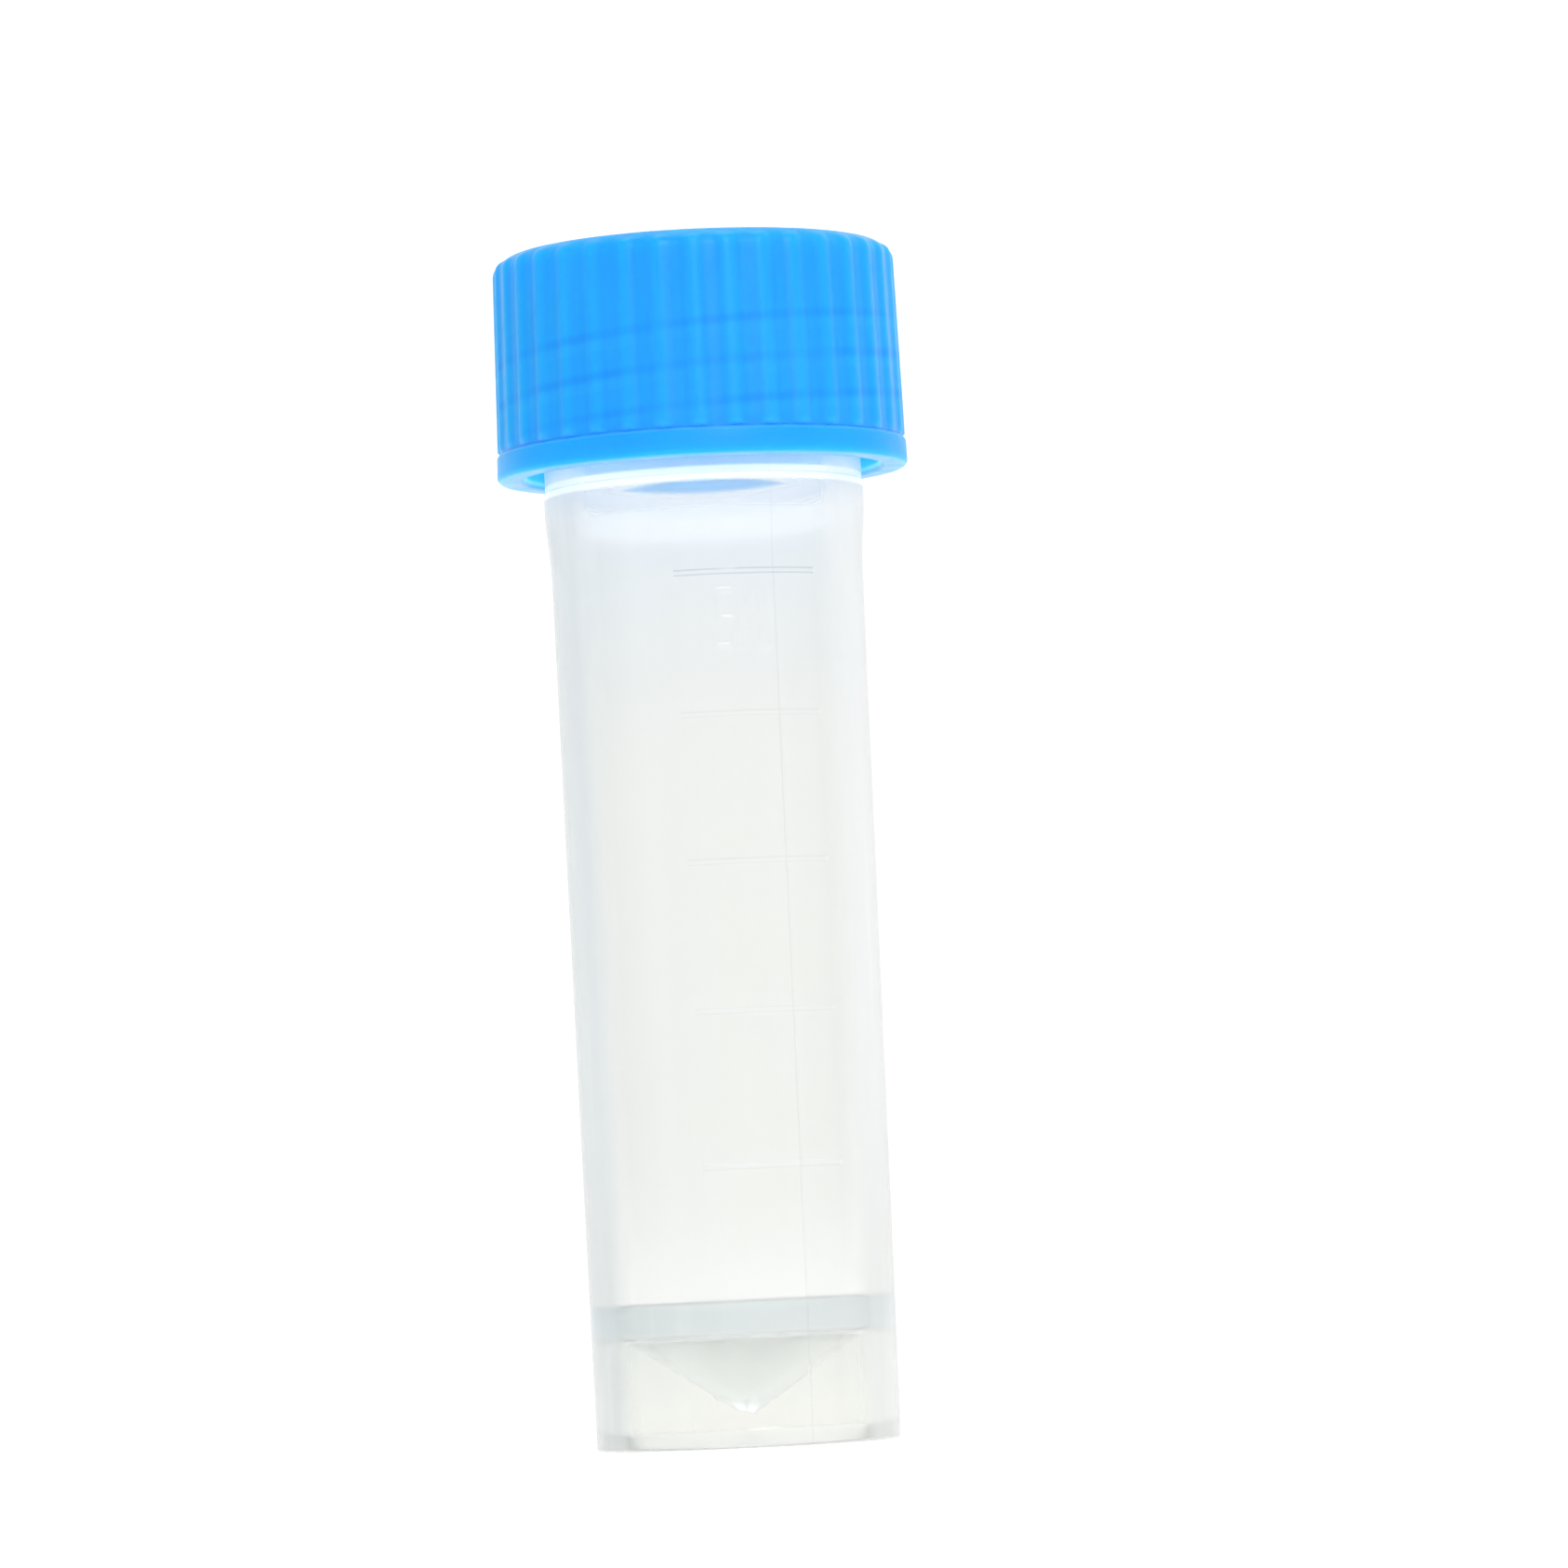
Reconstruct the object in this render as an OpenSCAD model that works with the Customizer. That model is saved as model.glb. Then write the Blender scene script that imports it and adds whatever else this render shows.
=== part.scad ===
// Self-standing sample tube with a ribbed screw cap, in millimetres.
//
// Z is up, the tube's axis is the Z axis and the foot stands on z = 0.
// The graduated side faces -Y. Angles round the tube are measured from there,
// and are positive towards +X.
//
// There are three mouldings. The tube has a threaded neck, a tapered barrel, a
// conical floor and an open skirt that it stands on. The cap screws on over the
// neck. A flat seal ring sits in the cap's roof and presses on the tube's mouth.

/* [Overall] */
// Height of the whole tube with its cap screwed on
total_height = 59.5; // [59:0.5:61]

/* [Barrel] */
// Outside radius at the foot
foot_radius = 7.55; // [7.5:0.05:7.6]
// Outside radius at the top of the tapered barrel
barrel_radius = 7.76; // [7.7:0.02:7.8]
// Height at which the barrel starts to swell into the neck
barrel_top = 43.2; // [42.9:0.1:43.5]
// Inside radius just above the floor
bore_low_radius = 6.42; // [6.35:0.01:6.45]
// Inside radius at the mouth
bore_top_radius = 6.85; // [6.8:0.01:6.9]

/* [Floor and skirt] */
// Height at which the bore meets the conical floor
floor_top = 6.9; // [6.8:0.1:7.2]
// Height at which the underside of the floor meets the skirt
floor_underside = 5.6; // [5.3:0.1:5.7]
// Height of the lowest point of the floor's underside
floor_tip = 1.77; // [1.6:0.01:2]
// Thickness of the floor on the axis
floor_tip_thickness = 1.2; // [1:0.1:1.4]
// Radius of the flat on the floor's tip
floor_tip_radius = 0.45; // [0.3:0.05:0.6]
// Inside radius of the skirt where it meets the floor
skirt_radius = 6.4; // [6.3:0.05:6.4]
// Height of the thinned lip at the foot
foot_lip_height = 0.85; // [0.6:0.05:1]
// Width of the foot ring that touches the bench
foot_ring_width = 0.5; // [0.4:0.05:0.6]

/* [Neck and thread] */
// Outside radius of the plain collar below the cap
collar_radius = 7.97; // [7.95:0.01:7.99]
// Height of the collar's upper edge
collar_top = 47.65; // [47.5:0.05:47.8]
// Outside radius of the neck between the thread's turns
neck_radius = 7.9; // [7.85:0.01:7.92]
// Height that the cap rises in one turn
thread_lead = 4; // [3.8:0.1:4.2]
// Radius over the neck's thread
thread_crest_radius = 8.55; // [8.4:0.05:8.6]
// Turns that each of the neck's two threads makes
thread_turns = 1.375; // [1:0.125:1.375]

/* [Graduations] */
// Height of the line for 1 mL
graduation_1 = 13.57; // [13.4:0.01:13.8]
// Height of the line for 2 mL
graduation_2 = 21.16; // [21:0.01:21.4]
// Height of the line for 3 mL
graduation_3 = 28.46; // [28.3:0.01:28.7]
// Height of the line for 4 mL
graduation_4 = 35.68; // [35.5:0.01:35.9]
// Height of the line for 5 mL
graduation_5 = 42.65; // [42.6:0.01:42.8]
// Height of each raised line
graduation_width = 0.24; // [0.2:0.02:0.3]
// How far the raised lines stand out of the wall
graduation_relief = 0.08; // [0.06:0.01:0.1]

/* [Cap] */
// Height of the cap
cap_height = 11.2; // [11.1:0.1:11.4]
// Outside radius of the plain band at the cap's rim
cap_radius = 10.25; // [10.2:0.05:10.4]
// Outside radius over the ribs at the top of the cap
cap_top_radius = 10.02; // [9.95:0.01:10.05]
// Height of the plain band
band_height = 1.37; // [1.2:0.01:1.6]
// Radius of the cap's rounded top edge
cap_edge_radius = 1.1; // [0.9:0.05:1.3]
// Number of grip ribs
rib_count = 36; // [30:1:36]
// How far the ribs stand out of the cap's side
rib_relief = 0.16; // [0.12:0.01:0.18]
// Width of a rib at its foot
rib_foot_width = 1.35; // [1.2:0.05:1.45]
// Width of a rib at its crest
rib_crest_width = 0.3; // [0.2:0.05:0.4]
// Inside radius of the cap between the thread's turns
cap_bore_radius = 8.8; // [8.75:0.05:8.85]
// Radius inside the cap's thread
cap_thread_radius = 8.1; // [8.1:0.02:8.2]

/* [Seal] */
// Thickness of the seal ring
seal_thickness = 0.9; // [0.8:0.05:1]
// Outside radius of the seal ring
seal_radius = 7.95; // [7.9:0.01:7.95]
// Inside radius of the seal ring
seal_bore_radius = 5.2; // [4.8:0.1:6]

/* [Hidden] */

round_detail = 96;      // above 12, so every circle is a true one
overlap = 0.3;          // how deep a raised feature is rooted in its wall

rim_z = total_height - cap_height;
roof_thickness = 1.3;
roof_z = total_height - roof_thickness;
mouth_z = roof_z - seal_thickness;

mouth_bevel = 0.25;
foot_bevel = 0.12;
swell_steps = 10;       // rings that draw the swell from the barrel to the collar
swell_top = 46.9;       // height at which the swell reaches the collar's radius
collar_bevel = 0.04;
skirt_draft = 0.1;       // how much the skirt's inside widens towards the foot

fit_gap = 0.05;         // running fit of the seal ring in the cap
seal_pocket_depth = 1.1;
seal_bevel = 0.1;
cap_mouth_bevel = 0.3;
band_bevel = 0.12;
band_draft = 0.03;      // how far the plain band leans in towards its top
rib_setback = 0.07;     // how far the ribs' feet stand back from the band
pocket_lead_in = 0.6;   // height of the cone that leads into the seal's pocket
edge_steps = 6;         // cones that draw the cap's rounded top edge
rib_top_gap = 0.05;     // the ribs end this far below the cap's top face
gate_radius = 0.9;      // shallow round dimple in the middle of the cap's top
gate_depth = 0.15;

// The neck and the cap each have two trapezoid threads, which start on opposite
// sides and follow the same right-hand helix. The cap's run midway between the
// neck's, so each slides along the gap between the other two.
thread_starts = 2;
thread_spacing = thread_lead / thread_starts;
thread_steps = 48;      // sections in one turn
thread_start = 50.1;    // height of the middle of the neck's thread at its start
thread_root_half = 0.65; // half the width at the root, inside the wall
thread_crest_half = 0.24;
thread_taper_steps = 10; // sections over which an end rises to full height
thread_start_angle = -85;
cap_thread_turns = 1.625;

graduation_from = -12.4;
graduation_to = 42;
parting_angle = 24.4;   // the mould's parting line, and a second one opposite
parting_width = 0.7;    // in degrees
parting_relief = 0.03;
parting_end_gap = 0.3;  // a parting line ends this far below the barrel's top
figure_relief = 0.05;
figure_low = 38.95;
figure_height = 3.0;
figure_stroke = 0.26;
figure_corner = 0.12;
figure_angles = [2.2, 10, 19.2]; // left sides of the figures 5, M and L
figure_widths = [0.9, 1.1, 0.58];

tube_colour = [0.93, 0.95, 0.96, 0.6];
seal_colour = [0.96, 0.96, 0.94];
cap_colour = [0.12, 0.62, 1];

// Radius of a straight taper at height z, between two heights and their radii.
function taper(z, low_z, low_r, high_z, high_r) =
    low_r + (high_r - low_r) * (z - low_z) / (high_z - low_z);

// Outside radius of the barrel at height z.
function wall_radius(z) = taper(z, 0, foot_radius, barrel_top, barrel_radius);

// Degrees round the barrel that a width in mm takes up.
function width_angle(width) = width / barrel_radius * 180 / PI;

// The swell between the barrel and the collar, as points from low to high.
function swell_points() = [
    for (i = [0:swell_steps])
        let (t = i / swell_steps, ease = (1 - cos(180 * t)) / 2)
            [barrel_radius + (collar_radius - barrel_radius) * ease,
             barrel_top + (swell_top - barrel_top) * t]
];

// The tube's half section, from the foot up the outside and down the inside.
function tube_section() = concat(
    [
        [foot_radius - foot_bevel, 0],
        [foot_radius, foot_bevel]
    ],
    swell_points(),
    [
        [collar_radius, collar_top - collar_bevel],
        [neck_radius, collar_top],
        [neck_radius, mouth_z - mouth_bevel],
        [neck_radius - mouth_bevel, mouth_z],
        [bore_top_radius, mouth_z],
        [bore_low_radius, floor_top],
        [floor_tip_radius, floor_tip + floor_tip_thickness],
        [0, floor_tip + floor_tip_thickness],
        [0, floor_tip],
        [floor_tip_radius, floor_tip],
        [skirt_radius, floor_underside],
        [skirt_radius + skirt_draft, foot_lip_height],
        [foot_radius - foot_bevel - foot_ring_width, 0]
    ]
);

// One trapezoid section of a thread, from its root in the wall to its crest.
function thread_section(angle, z, root_r, tip_r) = [
    for (p = [
        [root_r, -thread_root_half],
        [tip_r, -thread_crest_half],
        [tip_r, thread_crest_half],
        [root_r, thread_root_half]
    ]) [p[0] * cos(angle), p[0] * sin(angle), z + p[1]]
];

// Right-hand threads swept along their helices. They are rooted in the wall at
// wall_r, and rise out of it and sink back into it at their ends.
module helix(turns, start_z, wall_r, crest_r) {
    outward = crest_r > wall_r;
    sign = outward ? 1 : -1;
    root_r = wall_r - sign * overlap;
    sunk_r = wall_r - sign * overlap / 3;
    steps = floor(turns * thread_steps);
    corners = 4;
    sections = [
        for (i = [0:steps])
            let (grow = min(1, min(i, steps - i) / thread_taper_steps))
            each thread_section(
                thread_start_angle + 360 * i / thread_steps,
                start_z + thread_lead * i / thread_steps,
                root_r, sunk_r + (crest_r - sunk_r) * grow)
    ];
    sides = [
        for (i = [0:steps - 1], j = [0:corners - 1])
            let (
                a = i * corners + j,
                b = i * corners + (j + 1) % corners,
                c = b + corners,
                d = a + corners
            )
            each outward ? [[a, b, c], [a, c, d]] : [[c, b, a], [d, c, a]]
    ];
    last = steps * corners;
    low = outward ? [3, 2, 1, 0] : [0, 1, 2, 3];
    high = [for (j = low) last + corners - 1 - j];
    for (k = [0:thread_starts - 1])
        rotate([0, 0, 360 * k / thread_starts])
        polyhedron(points = sections, faces = concat(sides, [low, high]));
}

// A raised patch on the barrel, between two angles and two heights.
module patch(from_angle, to_angle, low_z, high_z, relief) {
    low_r = wall_radius(low_z);
    high_r = wall_radius(high_z);
    rotate([0, 0, from_angle - 90])
    rotate_extrude(angle = to_angle - from_angle, $fn = round_detail)
    polygon([
        [low_r - overlap, low_z],
        [low_r + relief, low_z],
        [high_r + relief, high_z],
        [high_r - overlap, high_z]
    ]);
}

module graduation(z) {
    patch(graduation_from, graduation_to, z, z + graduation_width, graduation_relief);
}

module graduations() {
    graduation(graduation_1);
    graduation(graduation_2);
    graduation(graduation_3);
    graduation(graduation_4);
    graduation(graduation_5);
}

module parting_line(angle) {
    half = parting_width / 2;
    patch(angle - half, angle + half, foot_lip_height,
          barrel_top - parting_end_gap, parting_relief);
}

// Outlines of the raised figures, each from its lower left corner.
function outline_5(w, h, t, c) =
    let (m = (h - t) / 2)
    [
        [0, 0], [w - c, 0], [w, c], [w, m + t - c], [w - c, m + t],
        [t, m + t], [t, h - t], [w, h - t], [w, h], [0, h],
        [0, m], [w - t, m], [w - t, t], [0, t]
    ];

function outline_m(w, h, t) =
    let (notch = h * 0.3)
    [
        [0, 0], [t, 0], [t, h - notch - t], [w / 2, h - 2 * notch - t],
        [w - t, h - notch - t], [w - t, 0], [w, 0], [w, h],
        [w - t, h], [w / 2, h - notch], [t, h], [0, h]
    ];

function outline_l(w, h, t) = [[0, 0], [w, 0], [w, t], [t, t], [t, h], [0, h]];

// Raises an outline out of the wall, with its left side at an angle.
module figure(angle, width, outline) {
    low_z = figure_low - figure_height;
    high_z = figure_low + 2 * figure_height;
    intersection() {
        rotate_extrude($fn = round_detail)
        polygon([
            [wall_radius(low_z) - overlap, low_z],
            [wall_radius(low_z) + figure_relief, low_z],
            [wall_radius(high_z) + figure_relief, high_z],
            [wall_radius(high_z) - overlap, high_z]
        ]);
        rotate([0, 0, angle + width_angle(width / 2)])
        translate([-width / 2, overlap - barrel_radius, figure_low])
        rotate([90, 0, 0])
        linear_extrude(height = 2 * overlap)
        polygon(outline);
    }
}

// The volume mark beside the top line.
module volume_mark() {
    h = figure_height;
    t = figure_stroke;
    w = figure_widths;
    figure(figure_angles[0], w[0], outline_5(w[0], h, t, figure_corner));
    figure(figure_angles[1], w[1], outline_m(w[1], h, t));
    figure(figure_angles[2], w[2], outline_l(w[2], h, t));
}

module neck_thread() {
    helix(thread_turns, thread_start, neck_radius, thread_crest_radius);
}

module tube() {
    color(tube_colour)
    union() {
        rotate_extrude($fn = round_detail)
        polygon(tube_section());
        neck_thread();
        graduations();
        parting_line(parting_angle);
        parting_line(parting_angle + 180);
        volume_mark();
    }
}

module seal() {
    color(seal_colour)
    rotate_extrude($fn = round_detail)
    polygon([
        [seal_bore_radius, mouth_z + seal_bevel],
        [seal_bore_radius + seal_bevel, mouth_z],
        [seal_radius - seal_bevel, mouth_z],
        [seal_radius, mouth_z + seal_bevel],
        [seal_radius, roof_z - seal_bevel],
        [seal_radius - seal_bevel, roof_z],
        [seal_bore_radius + seal_bevel, roof_z],
        [seal_bore_radius, roof_z - seal_bevel]
    ]);
}

// A drafted drum with a rounded top edge, as the points of its half section.
function drum_points(low_z, low_r, top_r, top_z, edge) = concat(
    [[0, low_z], [low_r, low_z]],
    [
        for (i = [0:edge_steps])
            let (a = 90 * i / edge_steps)
                [top_r - edge + edge * cos(a), top_z - edge + edge * sin(a)]
    ],
    [[0, top_z]]
);

module drum(low_z, low_r, top_r, top_z, edge) {
    rotate_extrude($fn = round_detail)
    polygon(drum_points(low_z, low_r, top_r, top_z, edge));
}

// The ribs stand on the drafted drum and lean in with it. They are cut to a
// second drum that runs over their crests, so they fade out round the top edge.
module ribs(low_z, low_r) {
    rise = total_height - low_z;
    lean = atan((low_r - cap_top_radius) / rise);
    intersection() {
        drum(low_z, low_r, cap_top_radius, total_height - rib_top_gap, cap_edge_radius);
        for (i = [0:rib_count - 1])
            rotate([0, 0, i * 360 / rib_count - 90])
            translate([low_r, 0, low_z - overlap])
            rotate([0, -lean, 0])
            linear_extrude(height = rise + 2 * overlap)
            rib_section();
    }
}

// Across one rib, with the crest at x = 0 and some way on past it.
module rib_section() {
    foot = rib_foot_width / 2;
    crest = rib_crest_width / 2;
    polygon([
        [-rib_relief - overlap, -foot],
        [-rib_relief, -foot],
        [0, -crest],
        [rib_relief, -crest],
        [rib_relief, crest],
        [0, crest],
        [-rib_relief, foot],
        [-rib_relief - overlap, foot]
    ]);
}

module cap_outside() {
    band_top = rim_z + band_height;
    band_top_radius = cap_radius - band_draft;
    crest_low_radius = cap_radius - rib_setback;
    rotate_extrude($fn = round_detail)
    polygon([
        [0, rim_z],
        [cap_radius - band_bevel, rim_z],
        [cap_radius, rim_z + band_bevel],
        [band_top_radius, band_top - band_bevel],
        [band_top_radius - band_bevel, band_top],
        [0, band_top]
    ]);
    drum(rim_z + overlap, crest_low_radius - rib_relief,
         cap_top_radius - rib_relief, total_height, cap_edge_radius - rib_relief);
    ribs(rim_z + overlap, crest_low_radius);
}

module cap_hollow() {
    pocket_z = roof_z - seal_pocket_depth;
    rotate_extrude($fn = round_detail)
    polygon([
        [0, rim_z - 1],
        [cap_bore_radius + cap_mouth_bevel, rim_z - 1],
        [cap_bore_radius + cap_mouth_bevel, rim_z],
        [cap_bore_radius, rim_z + cap_mouth_bevel],
        [cap_bore_radius, pocket_z - pocket_lead_in],
        [seal_radius + fit_gap, pocket_z],
        [seal_radius + fit_gap, roof_z],
        [0, roof_z]
    ]);
}

module cap_gate() {
    translate([0, 0, total_height - gate_depth])
    cylinder(r = gate_radius, h = 1, $fn = round_detail);
}

module cap_thread() {
    helix(cap_thread_turns, thread_start - thread_spacing / 2,
          cap_bore_radius, cap_thread_radius);
}

module cap() {
    color(cap_colour)
    union() {
        difference() {
            cap_outside();
            cap_hollow();
            cap_gate();
        }
        cap_thread();
    }
}

tube();
seal();
cap();
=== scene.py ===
"""A self-standing sample tube with a ribbed screw cap, built for rendering.

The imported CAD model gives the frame, the bodies and the joints. Each of its three
solids is replaced here by a finer mesh of the same shape. Sizes are in millimetres
until a mesh is made, and angles round the tube start at -Y and run towards +X.
"""
import math

import bmesh
import bpy
from mathutils import Matrix, Vector


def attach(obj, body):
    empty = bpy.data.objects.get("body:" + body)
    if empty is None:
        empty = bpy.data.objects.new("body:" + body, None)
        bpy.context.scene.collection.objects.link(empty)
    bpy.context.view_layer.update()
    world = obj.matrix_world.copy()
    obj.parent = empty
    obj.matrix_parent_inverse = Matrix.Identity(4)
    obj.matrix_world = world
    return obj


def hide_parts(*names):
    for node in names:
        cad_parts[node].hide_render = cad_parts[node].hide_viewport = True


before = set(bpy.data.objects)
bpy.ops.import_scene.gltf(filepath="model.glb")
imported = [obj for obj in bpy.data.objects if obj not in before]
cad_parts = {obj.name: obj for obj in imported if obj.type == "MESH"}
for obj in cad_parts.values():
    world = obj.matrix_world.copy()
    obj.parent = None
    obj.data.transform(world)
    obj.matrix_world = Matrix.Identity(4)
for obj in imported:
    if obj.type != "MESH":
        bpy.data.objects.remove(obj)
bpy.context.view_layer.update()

MM = 0.001

# ---------------------------------------------------------------- sizes

TOTAL_HEIGHT = 59.5
RIM_Z = 48.3
ROOF_Z = 58.2
MOUTH_Z = 57.3

CONE_TIP = (0.45, 1.77)  # underside of the conical floor: radius and height
CONE_EDGE = (6.4, 5.6)
SKIRT_STEP = (6.5, 0.85)  # where the skirt's inside turns out towards the foot
FOOT_INSIDE = 6.93
FOOT_RADIUS = 7.55
FOOT_BEVEL = 0.12
BARREL_START = 0.5
BARREL_RADIUS = 7.76
BARREL_TOP = 43.2
SWELL_TOP = 46.9
COLLAR_RADIUS = 7.97
COLLAR_TOP = 47.65
COLLAR_BEVEL = 0.03
NECK_RADIUS = 7.9
BORE_TIP = (0.45, 2.97)
BORE_LOW = (6.42, 6.9)
BORE_MIDDLE_Z = 32
BORE_TOP_RADIUS = 6.85
MOUTH_BEVEL = 0.25

THREAD_LEAD = 4.0
THREAD_STARTS = 2
THREAD_SPACING = THREAD_LEAD / THREAD_STARTS
THREAD_START_ANGLE = 5
NECK_THREAD_START = 50.1
NECK_THREAD_TURNS = 1.375
CAP_THREAD_START = NECK_THREAD_START - THREAD_SPACING / 2
CAP_THREAD_TURNS = 1.625
THREAD_TAPER_TURNS = 0.21
THREAD_FOOT_HALF = 0.52
THREAD_CREST_HALF = 0.24
NECK_THREAD_DEPTH = 0.63
CAP_THREAD_DEPTH = 0.68
NECK_THREAD_ROWS = (49.0, 56.5)  # heights that a thread's rows of vertices cover
NECK_ROW_STEP = 0.1
CAP_THREAD_ROWS = (48.8, 56.2)
CAP_ROW_STEP = 0.11

# The moulded marks stand out less than in the CAD, because clear plastic shows
# every step. The material paints shade along their edges.
GRADUATIONS = (13.57, 21.16, 28.46, 35.68, 42.65)
GRADUATION_WIDTH = 0.24
GRADUATION_RELIEF = 0.012
GRADUATION_ARC = (-12.4, 42.0)
GRADUATION_END = 1.2  # degrees over which a graduation fades out
PARTING_ANGLES = (24.4, 24.4 - 180)
PARTING_HALF = 0.35
PARTING_RELIEF = 0.015
FIGURE_RELIEF = 0.02
FIGURE_LOW = 38.95
FIGURE_HEIGHT = 3.0
FIGURE_STROKE = 0.26
FIGURE_SOFT = 0.08
FIGURE_CORNER = 0.12
FIGURE_WIDTHS = (0.9, 1.1, 0.58)  # of the 5, the M and the L
FIGURE_ANGLES = (2.2, 10.0, 19.2)
FIGURE_ARC = (0, 26)

BAND_TOP = RIM_Z + 1.37
BAND_RADIUS = 10.24
RIB_COUNT = 36
RIB_RELIEF = 0.16
RIB_HALF = 4.1  # degrees from a rib's crest to its foot
DRUM_LOW_RADIUS = 10.02
DRUM_TOP_RADIUS = 9.86
CAP_EDGE = 0.94
CAP_BORE = 8.8
DIMPLE_RADIUS = 0.9
DIMPLE_DEPTH = 0.15
POCKET_START = 56.5
SEAL_POCKET = (8.0, 57.1)

SEAL_INSIDE = 5.2
SEAL_OUTSIDE = 7.95
SEAL_BEVEL = 0.12

# How finely the meshes are cut. Guards are the distances, either side of an edge,
# at which extra rows or columns of vertices keep its relief crisp.
ARC_STEPS = 12
BARREL_ROW_STEP = 1.6
FIGURE_ROW_STEP = 0.075
MARK_GUARDS = (-0.08, -0.03, 0.03, 0.08)
MIN_ROW_GAP = 0.02
TUBE_COLUMNS = 240
END_GUARDS = (-1.3, -0.45, 0.45, 1.3)
SEAM_GUARDS = (-0.6, -0.35, -0.1, 0.1, 0.35, 0.6)
FIGURE_COLUMNS = (1.4, 24, 0.5)  # first angle, last angle and step
MIN_COLUMN_GAP = 0.06
RING_COLUMNS = 180
COLUMNS_PER_RIB = 14
SIDE_LEAN = 0.7  # a surface that leans out more than this counts as a side
SHARP_ANGLE = 50

# ---------------------------------------------------------------- outlines


def mix(a, b, t):
    return a + (b - a) * t


def smooth(t):
    t = min(1.0, max(0.0, t))
    return t * t * (3 - 2 * t)


def rounded(points, steps=4):
    """A polyline of (radius, height, rounding) with its corners rounded off."""
    out = []
    for i, (r, z, cut) in enumerate(points):
        if cut == 0 or i in (0, len(points) - 1):
            out.append((r, z))
            continue
        here = Vector((r, z))
        ends = []
        for other in (points[i - 1], points[i + 1]):
            way = Vector(other[:2]) - here
            ends.append(here + way * min(0.45, cut / way.length))
        for k in range(steps + 1):
            t = k / steps
            p = ends[0] * (1 - t) ** 2 + here * 2 * t * (1 - t) + ends[1] * t * t
            out.append((p.x, p.y))
    return out


def span(low, high, step):
    """Even heights from low to high, both included."""
    count = max(1, round((high - low) / step))
    return [mix(low, high, i / count) for i in range(count + 1)]


def thinned(values, gap):
    """The values in order, less each one that stands within a gap of the one before."""
    values = sorted(values)
    return [v for i, v in enumerate(values) if i == 0 or v - values[i - 1] > gap]


def wall_radius(z):
    return mix(FOOT_RADIUS, BARREL_RADIUS, z / BARREL_TOP)


def barrel_rows():
    """Heights up the barrel, close together where something stands out of it."""
    rows = span(BARREL_START, BARREL_TOP, BARREL_ROW_STEP)
    for z in GRADUATIONS:
        rows += [edge + d for edge in (z, z + GRADUATION_WIDTH) for d in MARK_GUARDS]
    rows += span(FIGURE_LOW - FIGURE_SOFT, FIGURE_LOW + FIGURE_HEIGHT + FIGURE_SOFT,
                 FIGURE_ROW_STEP)
    return thinned((z for z in rows if z < BARREL_TOP - MIN_ROW_GAP), MIN_ROW_GAP)


def tube_outline():
    """The tube's half section, from the floor's underside round to its inside."""
    under = rounded([
        (0, CONE_TIP[1], 0), (*CONE_TIP, 0.12), (*CONE_EDGE, 0.25), (*SKIRT_STEP, 0.2),
        (FOOT_INSIDE, 0, 0.08), (FOOT_RADIUS - FOOT_BEVEL, 0, 0.08),
        (FOOT_RADIUS, FOOT_BEVEL, 0.06), (wall_radius(BARREL_START), BARREL_START, 0)])
    barrel = [(wall_radius(z), z) for z in barrel_rows()[1:]]
    swell = []
    for i in range(ARC_STEPS + 1):
        ease = (1 - math.cos(math.pi * i / ARC_STEPS)) / 2
        swell.append((mix(BARREL_RADIUS, COLLAR_RADIUS, ease),
                      mix(BARREL_TOP, SWELL_TOP, i / ARC_STEPS)))
    first, last = NECK_THREAD_ROWS
    neck = rounded([
        (COLLAR_RADIUS, SWELL_TOP + 0.1, 0),
        (COLLAR_RADIUS, COLLAR_TOP - COLLAR_BEVEL, COLLAR_BEVEL),
        (NECK_RADIUS, COLLAR_TOP, COLLAR_BEVEL), (NECK_RADIUS, first - 0.1, 0)], steps=2)
    neck += [(NECK_RADIUS, z) for z in span(first, last, NECK_ROW_STEP)]
    inside = rounded([
        (NECK_RADIUS, last + 0.1, 0), (NECK_RADIUS, MOUTH_Z - MOUTH_BEVEL, 0.1),
        (NECK_RADIUS - MOUTH_BEVEL, MOUTH_Z, 0.1), (BORE_TOP_RADIUS, MOUTH_Z, 0.1),
        (mix(BORE_LOW[0], BORE_TOP_RADIUS, 0.5), BORE_MIDDLE_Z, 0), (*BORE_LOW, 0.3),
        (*BORE_TIP, 0.3), (0, BORE_TIP[1], 0)])
    return under + barrel + swell + neck + inside


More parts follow.
